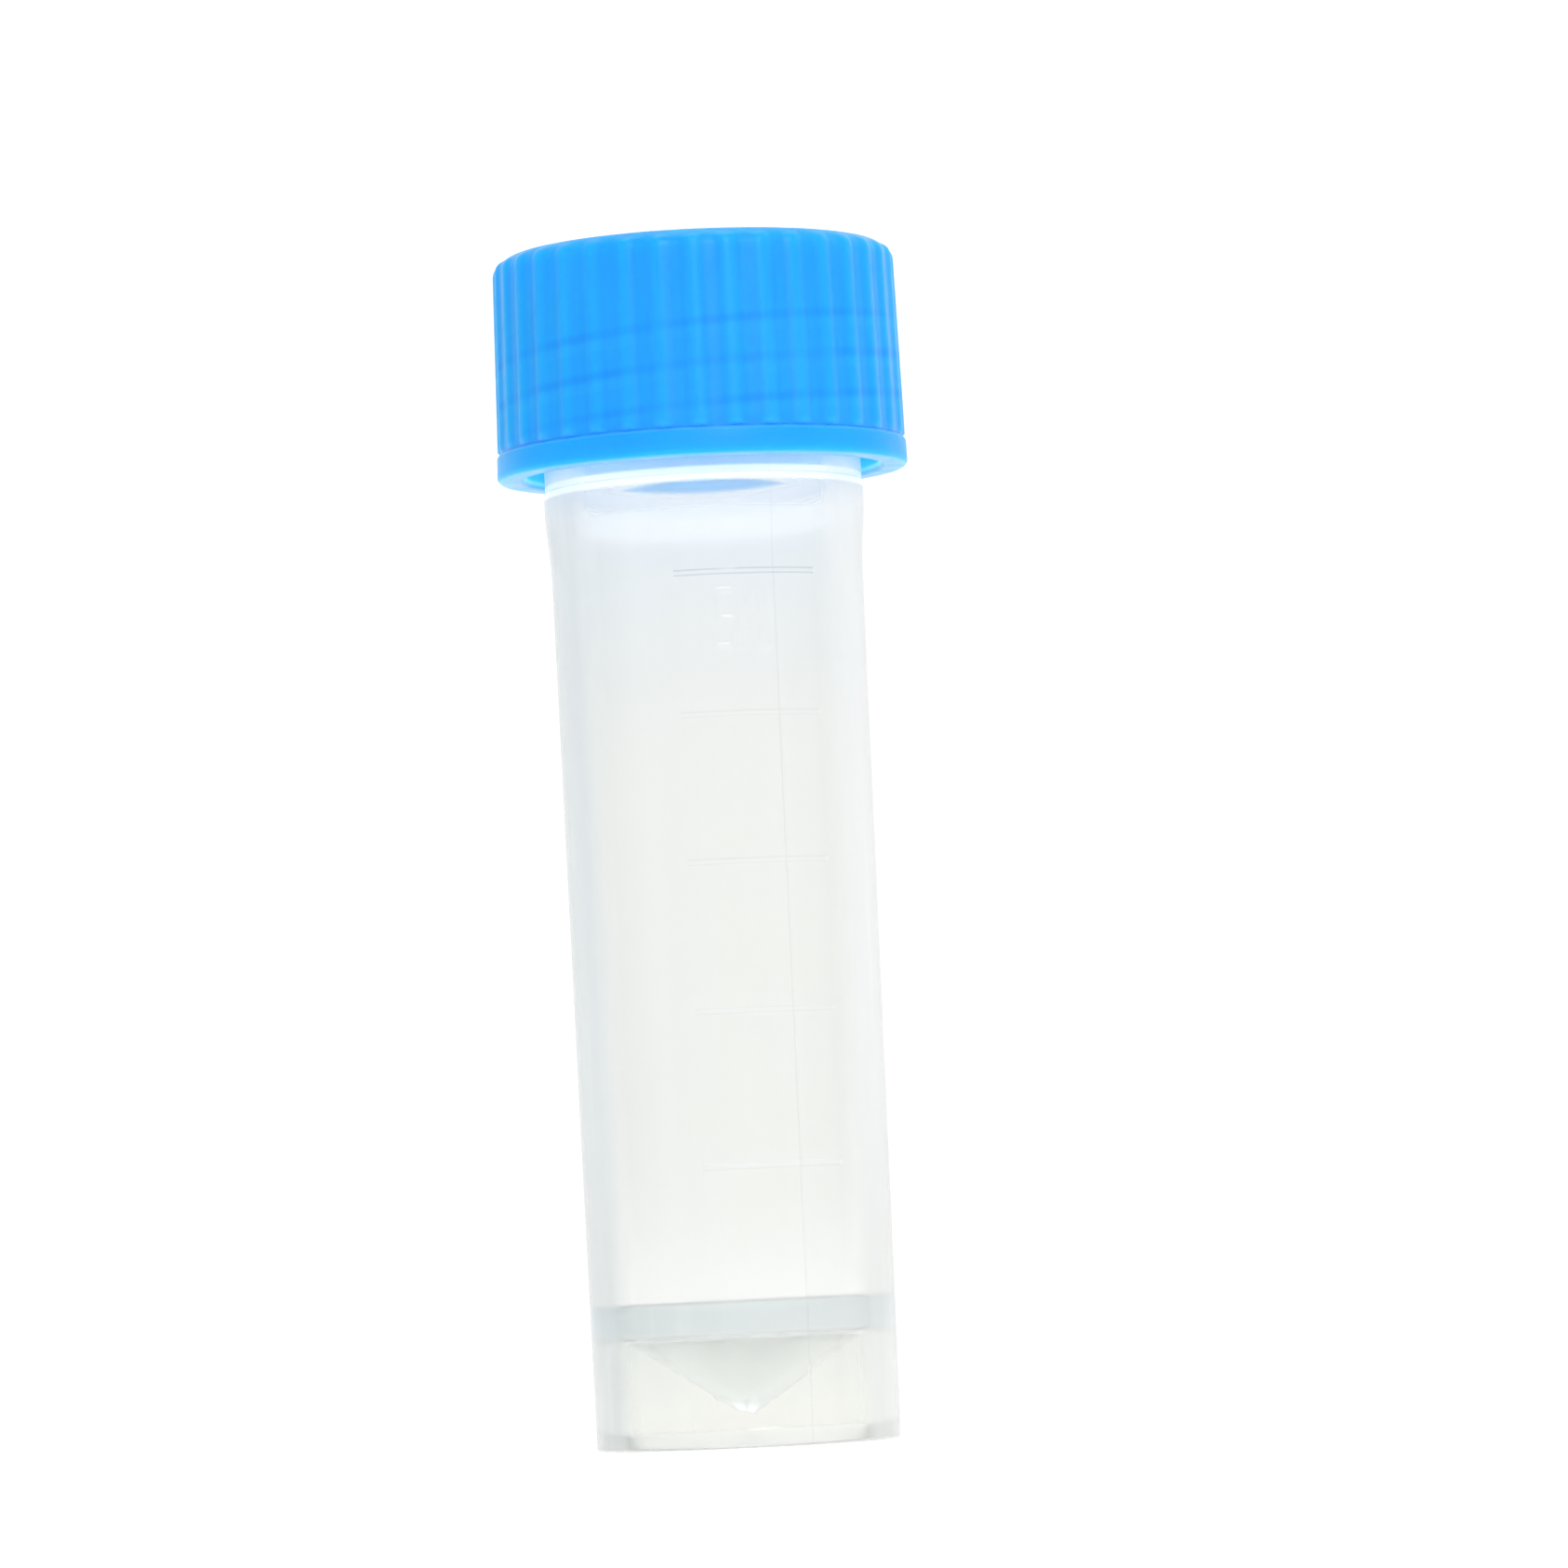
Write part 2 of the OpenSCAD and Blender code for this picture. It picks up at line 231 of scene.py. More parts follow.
def cap_outline():
    """The cap's half section, from the middle of its top round to its roof."""
    top = [(0, TOTAL_HEIGHT - DIMPLE_DEPTH), (0.6, TOTAL_HEIGHT - DIMPLE_DEPTH),
           (0.8, TOTAL_HEIGHT - 0.1)]
    top += [(r, TOTAL_HEIGHT) for r in (DIMPLE_RADIUS, 1.0, 4, 8)]
    centre = DRUM_TOP_RADIUS - CAP_EDGE
    shoulder = TOTAL_HEIGHT - CAP_EDGE
    for i in range(ARC_STEPS + 1):
        a = math.radians(90 - 90 * i / ARC_STEPS)
        top.append((centre + CAP_EDGE * math.cos(a), shoulder + CAP_EDGE * math.sin(a)))
    side = [(mix(DRUM_TOP_RADIUS, DRUM_LOW_RADIUS, t), mix(shoulder, BAND_TOP + 0.1, t))
            for t in (0.1, 0.25, 0.4, 0.55, 0.7, 0.85, 0.95)]
    first, last = CAP_THREAD_ROWS
    band = rounded([
        (DRUM_LOW_RADIUS, BAND_TOP + 0.2, 0), (DRUM_LOW_RADIUS, BAND_TOP, 0.04),
        (BAND_RADIUS - 0.15, BAND_TOP, 0.03), (BAND_RADIUS - 0.03, BAND_TOP - 0.13, 0.06),
        (BAND_RADIUS, RIM_Z + 0.2, 0.1), (BAND_RADIUS - 0.14, RIM_Z, 0.1),
        (CAP_BORE + 0.3, RIM_Z, 0.08), (CAP_BORE, RIM_Z + 0.3, 0.1),
        (CAP_BORE, first - 0.05, 0)], steps=3)
    bore = [(CAP_BORE, z) for z in span(first, last, CAP_ROW_STEP)]
    roof = rounded([
        (CAP_BORE, last + 0.1, 0), (CAP_BORE, POCKET_START, 0.1), (*SEAL_POCKET, 0.1),
        (SEAL_POCKET[0], ROOF_Z, 0.05), (0, ROOF_Z, 0)])
    return top + side + band + bore + roof


def seal_outline():
    """The seal ring's section, as a closed loop."""
    left, right = SEAL_INSIDE + SEAL_BEVEL, SEAL_OUTSIDE - SEAL_BEVEL
    low, high = MOUTH_Z + SEAL_BEVEL, ROOF_Z - SEAL_BEVEL
    out = []
    for r, z, start in ((left, low, 180), (right, low, 270), (right, high, 0), (left, high, 90)):
        for k in range(5):
            a = math.radians(start + 90 * k / 4)
            out.append((r + SEAL_BEVEL * math.cos(a), z + SEAL_BEVEL * math.sin(a)))
    return out


# ---------------------------------------------------------------- relief


def box_rise(value, low, high, soft):
    """1 between low and high, falling to 0 over soft on either side."""
    return smooth(min(value - low, high - value) / soft / 2 + 0.5)


def figure_outlines():
    """The raised figures 5, M and L, each as its left angle and its corners."""
    h, t, c = FIGURE_HEIGHT, FIGURE_STROKE, FIGURE_CORNER
    w, m = FIGURE_WIDTHS[0], (h - t) / 2
    five = [(0, 0), (w - c, 0), (w, c), (w, m + t - c), (w - c, m + t), (t, m + t),
            (t, h - t), (w, h - t), (w, h), (0, h), (0, m), (w - t, m), (w - t, t), (0, t)]
    w, n = FIGURE_WIDTHS[1], h * 0.3
    em = [(0, 0), (t, 0), (t, h - n - t), (w / 2, h - 2 * n - t), (w - t, h - n - t),
          (w - t, 0), (w, 0), (w, h), (w - t, h), (w / 2, h - n), (t, h), (0, h)]
    w = FIGURE_WIDTHS[2]
    ell = [(0, 0), (w, 0), (w, t), (t, t), (t, h), (0, h)]
    return list(zip(FIGURE_ANGLES, (five, em, ell)))


FIGURES = figure_outlines()


def inside_distance(x, y, corners):
    """How far a point is inside an outline, and minus that when it is outside."""
    inside, nearest = False, 1e9
    for i, (ax, ay) in enumerate(corners):
        bx, by = corners[(i + 1) % len(corners)]
        if (ay > y) != (by > y) and x < ax + (bx - ax) * (y - ay) / (by - ay):
            inside = not inside
        dx, dy = bx - ax, by - ay
        t = min(1, max(0, ((x - ax) * dx + (y - ay) * dy) / (dx * dx + dy * dy)))
        nearest = min(nearest, math.hypot(x - ax - dx * t, y - ay - dy * t))
    return nearest if inside else -nearest


def thread_rise(angle, z, start_z, length):
    """The share of its full height that a thread has at an angle and a height."""
    best = 0.0
    for start in range(THREAD_STARTS):
        turns = ((angle - THREAD_START_ANGLE) / 360 - start / THREAD_STARTS) % 1
        while turns < length:
            away = abs(z - start_z - THREAD_LEAD * turns)
            rise = (THREAD_FOOT_HALF - away) / (THREAD_FOOT_HALF - THREAD_CREST_HALF)
            end = min(turns, length - turns) / THREAD_TAPER_TURNS
            best = max(best, smooth(rise) * smooth(end))
            turns += 1
    return best


def tube_relief(angle, z, lean):
    """What stands out of the tube's outside, in mm.

    Lean is how far the surface faces outwards: 1 for a side, 0 for a level face.
    """
    if lean < SIDE_LEAN or z < SKIRT_STEP[1]:
        return 0.0
    if z > COLLAR_TOP + COLLAR_BEVEL:
        rise = thread_rise(angle, z, NECK_THREAD_START, NECK_THREAD_TURNS)
        return NECK_THREAD_DEPTH * rise
    if z > BARREL_TOP:
        return 0.0
    rise = 0.0
    around = (angle + 180) % 360 - 180
    for line in GRADUATIONS:
        up = box_rise(z, line, line + GRADUATION_WIDTH, 0.025)
        if up > 0:
            along = box_rise(around, *GRADUATION_ARC, GRADUATION_END)
            rise = max(rise, GRADUATION_RELIEF * up * along)
    for seam in PARTING_ANGLES:
        up = box_rise(around, seam - PARTING_HALF, seam + PARTING_HALF, 0.25)
        rise = max(rise, PARTING_RELIEF * up)
    by_figures = FIGURE_LOW - 0.1 < z < FIGURE_LOW + FIGURE_HEIGHT + 0.1
    if by_figures and FIGURE_ARC[0] < around < FIGURE_ARC[1]:
        for left, corners in FIGURES:
            x = math.radians(around - left) * BARREL_RADIUS
            depth = inside_distance(x, z - FIGURE_LOW, corners)
            rise = max(rise, FIGURE_RELIEF * smooth(depth / FIGURE_SOFT + 0.5))
    return rise


def rib_rise(angle):
    """A rib's section: a rounded crest and feet with straighter flanks between."""
    pitch = 360 / RIB_COUNT
    away = min(1, abs((angle + pitch / 2) % pitch - pitch / 2) / RIB_HALF)
    return mix((1 + math.cos(math.pi * away)) / 2, smooth(1.25 - 1.5 * away), 0.4)


def cap_relief(angle, z, lean):
    """Ribs out of the cap's side, and the thread into its bore, in mm."""
    if lean > 0.6 and z > BAND_TOP + 0.05:
        return RIB_RELIEF * rib_rise(angle) * smooth((lean - 0.6) / 0.38)
    if lean < -0.9 and z < POCKET_START:
        return CAP_THREAD_DEPTH * thread_rise(angle, z, CAP_THREAD_START, CAP_THREAD_TURNS)
    return 0.0


# ---------------------------------------------------------------- meshes


def lathe(name, outline, angles, relief=None, ring=False):
    """Turns an outline round Z into one closed mesh, with relief along its normals."""
    points = [Vector(p) for p in outline]
    count = len(points)
    hand = 1 if turns_left(points, ring) else -1
    rows = []
    bm = bmesh.new()
    for i, p in enumerate(points):
        if p.x < 1e-6:
            rows.append([bm.verts.new((0, 0, p.y * MM))])
            continue
        before = points[i - 1] if ring or i else points[i]
        after = points[(i + 1) % count] if ring or i < count - 1 else points[i]
        way = (after - before).normalized() * hand
        normal = Vector((way.y, -way.x))
        row = []
        for angle in angles:
            lift = relief(angle, p.y, normal.x) if relief else 0.0
            r, z = p.x + lift * normal.x, p.y + lift * normal.y
            a = math.radians(angle)
            row.append(bm.verts.new((r * math.sin(a) * MM, -r * math.cos(a) * MM, z * MM)))
        rows.append(row)
    pairs = list(zip(rows, rows[1:]))
    if ring:
        pairs.append((rows[-1], rows[0]))
    steps = len(angles)
    for low, high in pairs:
        for j in range(steps):
            k = (j + 1) % steps
            if len(low) == 1:
                bm.faces.new((low[0], high[j], high[k]))
            elif len(high) == 1:
                bm.faces.new((low[j], high[0], low[k]))
            else:
                bm.faces.new((low[j], high[j], high[k], low[k]))
    bmesh.ops.recalc_face_normals(bm, faces=bm.faces)
    mesh = bpy.data.meshes.new(name)
    bm.to_mesh(mesh)
    bm.free()
    mesh.shade_smooth()
    mesh.set_sharp_from_angle(angle=math.radians(SHARP_ANGLE))
    piece = bpy.data.objects.new(name, mesh)
    bpy.context.scene.collection.objects.link(piece)
    weighted = piece.modifiers.new("weighted_normals", "WEIGHTED_NORMAL")
    weighted.keep_sharp = True
    return piece


def turns_left(points, ring):
    """True if the outline runs round its section the way that puts solid on its left."""
    loop = points if ring else points + [Vector((0, points[-1].y)), Vector((0, points[0].y))]
    area = sum(a.x * b.y - b.x * a.y for a, b in zip(loop, loop[1:] + loop[:1]))
    return area > 0


def tube_angles():
    """Angles round the tube, close together at the graduations' ends and figures."""
    angles = even_angles(TUBE_COLUMNS)
    angles += [edge + d for edge in GRADUATION_ARC for d in END_GUARDS]
    angles += [seam + d for seam in PARTING_ANGLES for d in SEAM_GUARDS]
    angles += span(*FIGURE_COLUMNS)
    return thinned((a % 360 for a in angles), MIN_COLUMN_GAP)


def even_angles(count):
    return [360 * i / count for i in range(count)]


# ---------------------------------------------------------------- materials


class Nodes:
    """Short names for building a material's nodes."""

    def __init__(self, name):
        self.material = bpy.data.materials.new(name)
        self.material.use_nodes = True
        self.tree = self.material.node_tree
        self.shader = self.tree.nodes["Principled BSDF"]
        self.object_coords = self.tree.nodes.new("ShaderNodeTexCoord").outputs["Object"]

    def link(self, source, target):
        self.tree.links.new(source, target)

    def math(self, operation, *values):
        node = self.tree.nodes.new("ShaderNodeMath")
        node.operation = operation
        self.fill(node.inputs, values)
        return node.outputs[0]

    def fill(self, sockets, values):
        for socket, value in zip(sockets, values):
            if isinstance(value, bpy.types.NodeSocket):
                self.link(value, socket)
            else:
                socket.default_value = value

    def remap(self, value, from_low, from_high, low, high):
        node = self.tree.nodes.new("ShaderNodeMapRange")
        node.interpolation_type = "SMOOTHSTEP"
        self.fill(node.inputs, (value, from_low, from_high, low, high))
        return node.outputs[0]

    def ramp(self, value, from_mm, to_mm, low=0.0, high=1.0):
        """A smooth ramp from low to high between two lengths in millimetres."""
        return self.remap(value, from_mm * MM, to_mm * MM, low, high)

    def gather(self, operation, first, *others):
        for other in others:
            first = self.math(operation, first, other)
        return first

    def product(self, *values):
        return self.gather("MULTIPLY", *values)

    def largest(self, *values):
        return self.gather("MAXIMUM", *values)

    def distance(self, value, middle):
        return self.math("ABSOLUTE", self.math("SUBTRACT", value, middle))

    def position(self):
        """X, Y, Z and the distance from the tube's axis."""
        split = self.tree.nodes.new("ShaderNodeSeparateXYZ")
        self.link(self.object_coords, split.inputs[0])
        x, y, z = split.outputs
        squares = self.math("ADD", self.product(x, x), self.product(y, y))
        return x, y, z, self.math("SQRT", squares)

    def stretched(self, scale):
        node = self.tree.nodes.new("ShaderNodeMapping")
        self.link(self.object_coords, node.inputs["Vector"])
        node.inputs["Scale"].default_value = scale
        return node.outputs[0]

    def noise(self, size_mm, detail=3.0, scale=(1, 1, 1)):
        """Noise with features of about size_mm, stretched along an axis by scale."""
        node = self.tree.nodes.new("ShaderNodeTexNoise")
        self.link(self.stretched(scale), node.inputs["Vector"])
        node.inputs["Scale"].default_value = 1 / (size_mm * MM)
        node.inputs["Detail"].default_value = detail
        return node.outputs["Fac"]

    def blend(self, factor, a, b):
        node = self.tree.nodes.new("ShaderNodeMix")
        node.data_type = "RGBA"
        colours = [s for s in node.inputs if s.type == "RGBA"]
        self.fill([node.inputs[0], *colours], (factor, a, b))
        return next(s for s in node.outputs if s.type == "RGBA")

    def bump(self, height, strength, distance_mm, under=None):
        node = self.tree.nodes.new("ShaderNodeBump")
        node.inputs["Strength"].default_value = strength
        node.inputs["Distance"].default_value = distance_mm * MM
        self.link(height, node.inputs["Height"])
        if under:
            self.link(under, node.inputs["Normal"])
        return node.outputs["Normal"]

    def set(self, **values):
        for name, value in values.items():
            title = name.replace("_", " ").title().replace("Ior", "IOR")
            socket = self.shader.inputs[title]
            self.fill([socket], [value])


CAP_DEEP = (0.003, 0.34, 0.96, 1)
CAP_LIGHT = (0.016, 0.415, 1.0, 1)
CAP_STREAK = (0.03, 0.4, 0.96, 1)
# Painted shade over the threads' crests and painted light over their hollows, as seen through
# the wall.
CAP_CREST_SHADE = (0.001, 0.26, 0.86, 1)
CAP_HOLLOW_LIGHT = (0.02, 0.42, 0.97, 1)
# Painted light at the cap's thin edges.
CAP_THIN_EDGE_LIGHT = (0.33, 0.62, 0.96, 1)
# Painted light and glow for the inside of the cap.
CAP_INSIDE_LIGHT = (0.12, 0.62, 1.0, 1)
CAP_GLOW = (0.02, 0.5, 1.0, 1)
BANDS_BOTTOM = (49.9, 50.8)  # heights over which the thread's bands fade in
BANDS_TOP = (55.2, 56.0)
CREST_PHASE = 0.39
HOLLOW_PHASE = 0.13


def painted_thread_bands(n, x, y, z):
    """Painted shade and light: the threads inside show through the cap's wall as faint slanting
    bands, darker over each crest and lighter over each hollow.
    """
    laps = n.math("DIVIDE", n.math("ARCTAN2", y, x), math.tau / THREAD_STARTS)
    climb = n.math("DIVIDE", z, THREAD_SPACING * MM)
    start = (CAP_THREAD_START / THREAD_SPACING
             - (THREAD_START_ANGLE - 90) / 360 * THREAD_STARTS)
    phase = n.math("FRACT", n.math("SUBTRACT", n.math("SUBTRACT", climb, laps), start - 0.5))
    patches = n.remap(n.noise(5.0, 2.0), 0.35, 0.6, 0.45, 1.0)
    shown = n.product(n.ramp(z, *BANDS_BOTTOM), n.ramp(z, *BANDS_TOP, 1.0, 0.0), patches)
    crest_shade = n.remap(n.distance(phase, CREST_PHASE), 0.03, 0.18, 0.42, 0.0)
    hollow_light = n.remap(n.distance(phase, HOLLOW_PHASE), 0.05, 0.22, 0.35, 0.0)
    return n.product(crest_shade, shown), n.product(hollow_light, shown)


def cap_material():
    n = Nodes("cap_plastic")
    x, y, z, radius = n.position()
    crest_shade, hollow_light = painted_thread_bands(n, x, y, z)
    colour = n.blend(n.noise(7.0, 2.0, (1, 1, 0.6)), CAP_DEEP, CAP_LIGHT)
    streak = n.noise(0.5, 3.0, (1, 1, 0.08))
    colour = n.blend(n.remap(streak, 0.45, 0.75, 0.0, 0.07), colour, CAP_STREAK)
    # Painted thread bands: shade over the crests, light over the hollows.
    colour = n.blend(crest_shade, colour, CAP_CREST_SHADE)
    colour = n.blend(hollow_light, colour, CAP_HOLLOW_LIGHT)
    # Painted light along the thin edges, at the rim and along the top of the band, where light
    # gathers.
    rim_light = n.ramp(z, RIM_Z + 0.02, RIM_Z + 0.12, 0.4, 0.0)
    ledge_light = n.ramp(n.distance(z, (BAND_TOP - 0.07) * MM), 0.03, 0.12, 0.075, 0.0)
    colour = n.blend(n.largest(rim_light, ledge_light), colour, CAP_THIN_EDGE_LIGHT)
    # Painted light: seen from inside, the wall is paler and glows faintly, in place of the light
    # that comes through its thickness.
    inside_light = n.product(n.ramp(radius, CAP_BORE + 0.05, CAP_BORE + 0.25, 0.75, 0.0),
                       n.ramp(z, ROOF_Z, ROOF_Z + 0.1, 1.0, 0.0))
    colour = n.blend(inside_light, colour, CAP_INSIDE_LIGHT)
    n.link(n.product(inside_light, 0.5), n.shader.inputs["Emission Strength"])
    n.link(colour, n.shader.inputs["Base Color"])
    n.link(n.remap(n.noise(1.5, 4.0), 0.3, 0.7, 0.3, 0.42), n.shader.inputs["Roughness"])
    grain = n.bump(n.noise(0.12, 4.0), 0.12, 0.01)
    flow = n.bump(n.noise(2.5, 2.0, (1, 1, 0.3)), 0.15, 0.02, grain)
    n.link(flow, n.shader.inputs["Normal"])
    n.set(emission_color=CAP_GLOW, specular_ior_level=0.25)
    n.set(subsurface_weight=1.0, subsurface_scale=MM, subsurface_radius=(0.6, 1.8, 3.0))
    return n.material


TUBE_PALE = (0.97, 0.975, 0.955, 1)
TUBE_PALER = (0.98, 0.985, 0.975, 1)
# Painted reflection of the blue cap, with a little painted shade, on the upper tube.
TUBE_CAP_REFLECTION = (0.915, 0.95, 0.978, 1)
TUBE_SKIRT = (0.93, 0.935, 0.905, 1)
# Painted shade where the wall is seen edge on, darker towards the bottom.
TUBE_EDGE_SHADE = (0.83, 0.855, 0.86, 1)
TUBE_LOW_EDGE_SHADE = (0.735, 0.76, 0.745, 1)
TUBE_THICK = (0.75, 0.81, 0.82, 1)
TUBE_STREAK = (0.985, 0.988, 0.99, 1)
# Painted shade along the moulded marks' edges.
TUBE_LINE_SHADE = (0.35, 0.45, 0.58, 1)
TUBE_GLOW = (1.0, 0.97, 0.94, 1)
INSIDE_CLEAR = 0.985  # share of the light that each surface lets straight through
OUTSIDE_CLEAR = 0.85
THICK_CLEAR = 0.28
BARREL_HAZE = 0.16  # what the barrel's outside lets through less than the neck and skirt
TOP_LINE_SHADE = 0.45
LINE_SHADE = 0.13
SEAM_SHADE = 0.14
# Radii, then heights, between which each zone of the tube fades in or out.
OUTSIDE_FROM = (7.2, 7.4)
CONE_RIM = (6.35, 6.5)
FOOT_TOP = (0.8, 1.0)
CONE_HEIGHT = (1.5, 5.4)
LOW_EDGE_SHADE = (3, 22)
HAZE_BOTTOM = (5.2, 5.4)
SKIRT_TOP = (5.2, 5.6)
FLOOR_BOTTOM = (5.4, 5.7)
CONE_TOP = (5.6, 5.75)
FLOOR_TOP = (7.0, 7.2)
CAP_REFLECTION_HEIGHTS = (32, 50)
UPPER_GLOW = (38, 43)
HAZE_TOP = (45.8, 46.4)
COLLAR_BOTTOM = (47.2, 47.4)
COLLAR_FADE = (47.9, 48.05)
NECK_FADE = (48.8, 49.6)


def painted_line_shade(n, x, y, z):
    """Painted shade along thin edges: each side of a graduation, and the two parting lines."""
    along = n.math("ARCTAN2", x, n.product(y, -1.0))
    first, last = (math.radians(a) for a in GRADUATION_ARC)
    arc = n.product(n.math("GREATER_THAN", along, first), n.math("LESS_THAN", along, last))
    half = GRADUATION_WIDTH / 2
    lines = 0.0
    for line in GRADUATIONS:
        away = n.distance(n.distance(z, (line + half) * MM), half * MM)
        shade = TOP_LINE_SHADE if line == GRADUATIONS[-1] else LINE_SHADE
        lines = n.largest(lines, n.ramp(away, 0.02, 0.06, shade, 0.0))
    seam = math.radians(PARTING_ANGLES[0])
    away = n.math("ABSOLUTE", n.math("ADD", n.product(x, math.cos(seam)),
                                     n.product(y, math.sin(seam))))
    return n.largest(n.product(lines, arc), n.ramp(away, 0.02, 0.05, SEAM_SHADE, 0.0))


def tube_material():
    """See-through plastic that scatters more light where it is thick or seen edge on."""
    n = Nodes("tube_plastic")
    x, y, z, radius = n.position()
    outside = n.ramp(radius, *OUTSIDE_FROM)
    floor_band = n.product(n.ramp(z, *FLOOR_BOTTOM, 0.0, 0.8), n.ramp(z, *FLOOR_TOP, 1.0, 0.0))
    cone = n.product(n.ramp(z, *CONE_HEIGHT, 0.65, 0.45), n.ramp(radius, *CONE_RIM, 1.0, 0.0),
                     n.ramp(z, *CONE_TOP, 1.0, 0.0))
    collar = n.math("ADD", n.ramp(z, *COLLAR_FADE, 0.5, 0.0), n.ramp(z, *NECK_FADE, 0.16, 0.0))
    collar = n.product(n.ramp(z, *COLLAR_BOTTOM), collar)
    foot = n.ramp(z, *FOOT_TOP, 0.5, 0.0)
    facing = n.tree.nodes.new("ShaderNodeLayerWeight").outputs["Facing"]
    edge = n.product(outside, n.remap(facing, 0.26, 0.5, 0.0, 1.0))
    thick = n.largest(floor_band, collar, edge, cone, foot)
    haze = n.product(n.ramp(z, *HAZE_BOTTOM, 0.0, BARREL_HAZE),
                     n.ramp(z, *HAZE_TOP, 1.0, 0.0), outside)
    clear = n.math("SUBTRACT", n.remap(outside, 0.0, 1.0, INSIDE_CLEAR, OUTSIDE_CLEAR), haze)
    through = n.math("MULTIPLY_ADD", thick, n.math("SUBTRACT", THICK_CLEAR, clear), clear)
    n.link(through, n.shader.inputs["Transmission Weight"])

    colour = n.blend(n.noise(6.0, 3.0), TUBE_PALE, TUBE_PALER)
    # Painted reflection: the tube turns bluer and a little darker towards the blue cap.
    colour = n.blend(n.ramp(z, *CAP_REFLECTION_HEIGHTS), colour, TUBE_CAP_REFLECTION)
    colour = n.blend(n.ramp(z, *SKIRT_TOP, 0.8, 0.0), colour, TUBE_SKIRT)
    # Painted shade where the wall is seen edge on, darker towards the bottom.
    side = n.blend(n.ramp(z, *LOW_EDGE_SHADE, 1.0, 0.0), TUBE_EDGE_SHADE, TUBE_LOW_EDGE_SHADE)
    colour = n.blend(n.product(edge, 0.9), colour, side)
    colour = n.blend(n.largest(floor_band, cone), colour, TUBE_THICK)
    streak = n.noise(0.9, 3.0, (1, 1, 0.05))
    colour = n.blend(n.remap(streak, 0.5, 0.8, 0.0, 0.3), colour, TUBE_STREAK)
    # Painted shade along the graduations' edges and the parting lines.
    colour = n.blend(n.product(painted_line_shade(n, x, y, z), outside), colour, TUBE_LINE_SHADE)
    n.link(colour, n.shader.inputs["Base Color"])

    # Painted light: emission makes the neck, the cone and the foot glow a little, and the upper
    # barrel faintly, in place of light carried down the wall.
    glow = n.largest(n.product(collar, 0.35), n.product(foot, 0.03), n.product(cone, 0.17),
                     n.ramp(z, *UPPER_GLOW, 0.0, 0.004))
    n.link(glow, n.shader.inputs["Emission Strength"])
    rough = n.remap(n.noise(2.0, 4.0), 0.3, 0.7, 0.03, 0.07)
    rough = n.math("ADD", rough, n.product(edge, 0.18))
    n.link(rough, n.shader.inputs["Roughness"])
    grain = n.bump(n.noise(0.25, 2.0), 0.02, 0.006)
    flow = n.bump(n.noise(1.2, 2.0, (1, 1, 0.015)), 0.04, 0.02, grain)
    n.link(flow, n.shader.inputs["Normal"])
    n.set(emission_color=TUBE_GLOW, ior=1.45)
    return n.material


SEAL_DARK = (0.82, 0.82, 0.78, 1)
SEAL_LIGHT = (0.9, 0.9, 0.87, 1)


def seal_material():
    n = Nodes("seal_silicone")
    colour = n.blend(n.noise(2.0, 3.0), SEAL_DARK, SEAL_LIGHT)
    n.link(colour, n.shader.inputs["Base Color"])
    n.link(n.remap(n.noise(0.8, 3.0), 0.3, 0.7, 0.45, 0.6), n.shader.inputs["Roughness"])
    n.link(n.bump(n.noise(0.3, 3.0), 0.15, 0.01), n.shader.inputs["Normal"])
    n.set(subsurface_weight=0.3)
    return n.material


# ---------------------------------------------------------------- pieces


def place(piece, material, body, node):
    piece.data.materials.append(material)
    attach(piece, body)
    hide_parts(node)


place(lathe("tube_body", tube_outline(), tube_angles(), tube_relief),
      tube_material(), "tube", "tube")
place(lathe("seal_ring", seal_outline(), even_angles(RING_COLUMNS), ring=True),
      seal_material(), "seal", "seal")
place(lathe("screw_cap", cap_outline(), even_angles(RIB_COUNT * COLUMNS_PER_RIB), cap_relief),
      cap_material(), "cap", "cap")

# ---------------------------------------------------------------- stage


FLOOR_RADIUS = 4.0  # metres
FLOOR_DROP = 0.05  # so that the floor and the tube's foot don't share a plane
FLOOR_TONES = ((0.25, 0.25, 0.25, 1), (0.26, 0.26, 0.26, 1))
AIM = (0, 0, 35)
BACKDROP = (0.12, 0.99, 0)  # the way from the front of the studio to its bright back
BACKDROP_RAMP = (0.3, 0.92, 0.6, 1.12)  # how far that way, and how bright, at both ends
LEFT_RAMP = (-0.95, -0.3, 1.0, 0.0)
NEUTRAL = (1.0, 1.0, 0.985, 1)
COOL = (0.8, 0.93, 1.0, 1)
CAMERA_PLACE = (0, -0.39285, 0.00895)
CAMERA_ANGLES = (0.0603, 0.0084, -0.0487)  # pitch, yaw and roll in radians


def floor():
    """Plain, pale and lit mostly from within, so that it reads like the backdrop."""
    bm = bmesh.new()
    bmesh.ops.create_circle(bm, cap_ends=True, segments=96, radius=FLOOR_RADIUS)
    mesh = bpy.data.meshes.new("floor")
    bm.to_mesh(mesh)
    bm.free()
    piece = bpy.data.objects.new("floor", mesh)
    piece.location.z = -FLOOR_DROP * MM
    bpy.context.scene.collection.objects.link(piece)
    n = Nodes("pale_floor")
    tone = n.blend(n.noise(60, 2.0), *FLOOR_TONES)
    n.link(tone, n.shader.inputs["Base Color"])
    n.link(tone, n.shader.inputs["Emission Color"])
    n.set(roughness=0.9, specular_ior_level=0.1, emission_strength=3.9)
    mesh.materials.append(n.material)


def softbox(name, place_mm, size_mm, watts):
    light = bpy.data.lights.new(name, "AREA")
    light.shape = "DISK"
    light.size = size_mm * MM
    light.energy = watts
    lamp = bpy.data.objects.new(name, light)
    lamp.location = Vector(place_mm) * MM
    aim = Vector(AIM) * MM - lamp.location
    lamp.rotation_euler = aim.to_track_quat("-Z", "Y").to_euler()
    bpy.context.scene.collection.objects.link(lamp)


